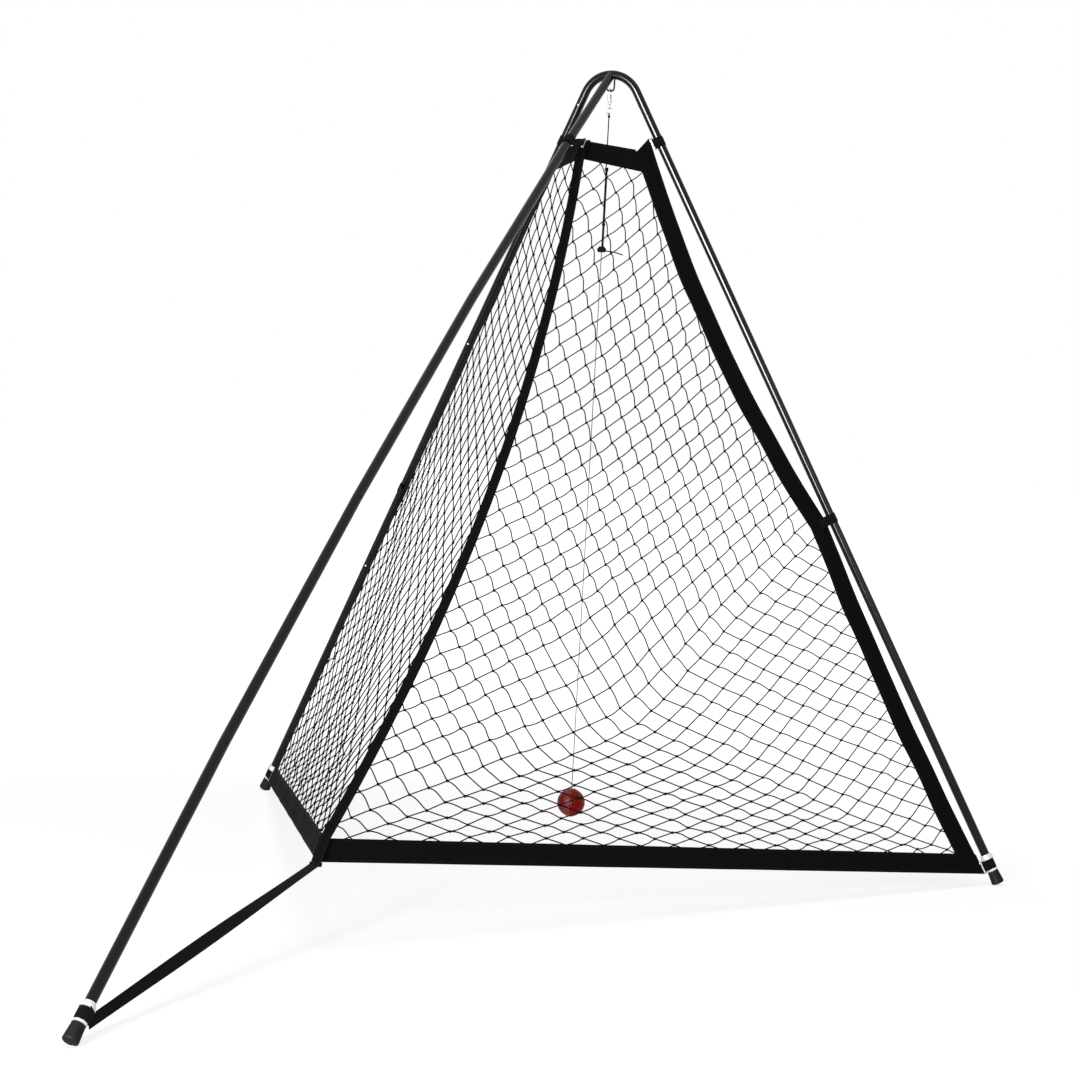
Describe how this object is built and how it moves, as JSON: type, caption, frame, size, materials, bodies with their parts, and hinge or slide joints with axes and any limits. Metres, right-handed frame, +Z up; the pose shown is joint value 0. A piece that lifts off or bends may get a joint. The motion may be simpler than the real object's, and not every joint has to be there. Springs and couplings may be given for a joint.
{
  "type": "hanging_ball_batting_net",
  "caption": "Batting practice net on a three-legged pole frame: a slack net in a V catches the red leather ball that hangs on a cord from the crown.",
  "frame": {"origin": "middle of the footprint, on the ground", "axes": "+Z up, +Y toward the batter's open side, -Y along the stay pole, X across the two legs"},
  "size_m": [2.1604, 2.5582, 2.0141],
  "materials": {
    "pole_paint": "gloss black powder coat",
    "hook_paint": "gloss black powder coat",
    "button_steel": "zinc plated",
    "spring_steel": "plain spring steel",
    "foot_rubber": "moulded matte",
    "spool_plastic": "moulded off-white",
    "net_twine": "twisted and knotted black twine",
    "webbing_fabric": "woven black webbing",
    "strap_fabric": "hook-and-loop black strap",
    "ring_steel": "nickel plated wire",
    "snap_brass": "cast, nickel plated",
    "cord_fibre": "braided black cord",
    "ball_leather": "polished red leather with stitched seam",
    "ball_cork": "wound cork, hidden"
  },
  "bodies": {
    "frame": {"apex_head": "pole_paint", "ball_hook": "hook_paint", "right_upper_pole": "pole_paint", "right_middle_pole": "pole_paint", "right_lower_pole": "pole_paint", "left_upper_pole": "pole_paint", "left_middle_pole": "pole_paint", "left_lower_pole": "pole_paint", "stay_upper_pole": "pole_paint", "stay_high_pole": "pole_paint", "stay_low_pole": "pole_paint", "stay_bottom_pole": "pole_paint", "button_springs": "spring_steel", "right_foot": "foot_rubber", "left_foot": "foot_rubber", "stay_foot": "foot_rubber", "right_spool": "spool_plastic", "left_spool": "spool_plastic", "stay_spool": "spool_plastic", "right_net": "net_twine", "left_net": "net_twine", "right_edge_webbing": "webbing_fabric", "left_edge_webbing": "webbing_fabric", "centre_webbing": "webbing_fabric", "right_bottom_webbing": "webbing_fabric", "left_bottom_webbing": "webbing_fabric", "right_top_webbing": "webbing_fabric", "left_top_webbing": "webbing_fabric", "right_top_strap": "strap_fabric", "left_top_strap": "strap_fabric", "right_middle_strap": "strap_fabric", "left_middle_strap": "strap_fabric", "right_foot_strap": "strap_fabric", "left_foot_strap": "strap_fabric", "stay_top_strap": "strap_fabric", "stay_foot_strap": "strap_fabric", "ground_strap": "strap_fabric", "strap_rings": "ring_steel", "corner_fold": "webbing_fabric"},
    "snap": {"snap_body": "snap_brass", "snap_spring": "spring_steel"},
    "bolt": {"snap_bolt": "snap_brass"},
    "swivel": {"snap_swivel": "snap_brass"},
    "hanging_ball": {"split_ring": "ring_steel", "hanging_cord": "cord_fibre", "cord_knots": "cord_fibre", "cord_tail": "cord_fibre", "ball_line": "cord_fibre", "ball_cover": "ball_leather", "ball_core": "ball_cork"},
    "right_top_button": {"right_top_button": "button_steel"},
    "right_middle_button": {"right_middle_button": "button_steel"},
    "right_low_button": {"right_low_button": "button_steel"},
    "left_top_button": {"left_top_button": "button_steel"},
    "left_middle_button": {"left_middle_button": "button_steel"},
    "left_low_button": {"left_low_button": "button_steel"},
    "stay_top_button": {"stay_top_button": "button_steel"},
    "stay_high_button": {"stay_high_button": "button_steel"},
    "stay_low_button": {"stay_low_button": "button_steel"},
    "stay_bottom_button": {"stay_bottom_button": "button_steel"}
  },
  "joints": [
    {"name": "ball_swing", "type": "hinge", "parent": "frame", "child": "snap", "pos_m": [0, 0.99297, 1.96181], "axis": [1, 0, 0], "range_deg": [-28, 75]},
    {"name": "snap_bolt_slide", "type": "slide", "parent": "snap", "child": "bolt", "axis": [0, 0, -1], "range_m": [0, 0.006], "stiffness_N_per_m": 150, "springref_m": -0.004, "deforming": ["snap_spring"]},
    {"name": "swivel_turn", "type": "hinge", "parent": "snap", "child": "swivel", "pos_m": [0, 0.99297, 1.93276], "axis": [0, 0, 1], "continuous": true},
    {"name": "ring_swing", "type": "hinge", "parent": "swivel", "child": "hanging_ball", "pos_m": [0, 0.99297, 1.91676], "axis": [0, 1, 0], "range_deg": [-8, 8]},
    {"name": "right_top_button_push", "type": "slide", "parent": "frame", "child": "right_top_button", "axis": [0.8926, -0.062, 0.4466], "range_m": [0, 0.004], "stiffness_N_per_m": 1000, "springref_m": -0.004, "deforming": ["button_springs"]},
    {"name": "right_middle_button_push", "type": "slide", "parent": "frame", "child": "right_middle_button", "axis": [0.8926, -0.062, 0.4466], "range_m": [0, 0.004], "stiffness_N_per_m": 1000, "springref_m": -0.004, "deforming": ["button_springs"]},
    {"name": "right_low_button_push", "type": "slide", "parent": "frame", "child": "right_low_button", "axis": [0.8926, -0.062, 0.4466], "range_m": [0, 0.004], "stiffness_N_per_m": 1000, "springref_m": -0.004, "deforming": ["button_springs"]},
    {"name": "left_top_button_push", "type": "slide", "parent": "frame", "child": "left_top_button", "axis": [0, 0.9905, 0.1374], "range_m": [0, 0.004], "stiffness_N_per_m": 1000, "springref_m": -0.004, "deforming": ["button_springs"]},
    {"name": "left_middle_button_push", "type": "slide", "parent": "frame", "child": "left_middle_button", "axis": [0, 0.9905, 0.1374], "range_m": [0, 0.004], "stiffness_N_per_m": 1000, "springref_m": -0.004, "deforming": ["button_springs"]},
    {"name": "left_low_button_push", "type": "slide", "parent": "frame", "child": "left_low_button", "axis": [0, 0.9905, 0.1374], "range_m": [0, 0.004], "stiffness_N_per_m": 1000, "springref_m": -0.004, "deforming": ["button_springs"]},
    {"name": "stay_top_button_push", "type": "slide", "parent": "frame", "child": "stay_top_button", "axis": [0, -0.6133, 0.7898], "range_m": [0, 0.004], "stiffness_N_per_m": 1000, "springref_m": -0.004, "deforming": ["button_springs"]},
    {"name": "stay_high_button_push", "type": "slide", "parent": "frame", "child": "stay_high_button", "axis": [0, -0.6316, 0.7753], "range_m": [0, 0.004], "stiffness_N_per_m": 1000, "springref_m": -0.004, "deforming": ["button_springs"]},
    {"name": "stay_low_button_push", "type": "slide", "parent": "frame", "child": "stay_low_button", "axis": [0, -0.6561, 0.7546], "range_m": [0, 0.004], "stiffness_N_per_m": 1000, "springref_m": -0.004, "deforming": ["button_springs"]},
    {"name": "stay_bottom_button_push", "type": "slide", "parent": "frame", "child": "stay_bottom_button", "axis": [0, -0.6801, 0.7332], "range_m": [0, 0.004], "stiffness_N_per_m": 1000, "springref_m": -0.004, "deforming": ["button_springs"]}
  ]
}
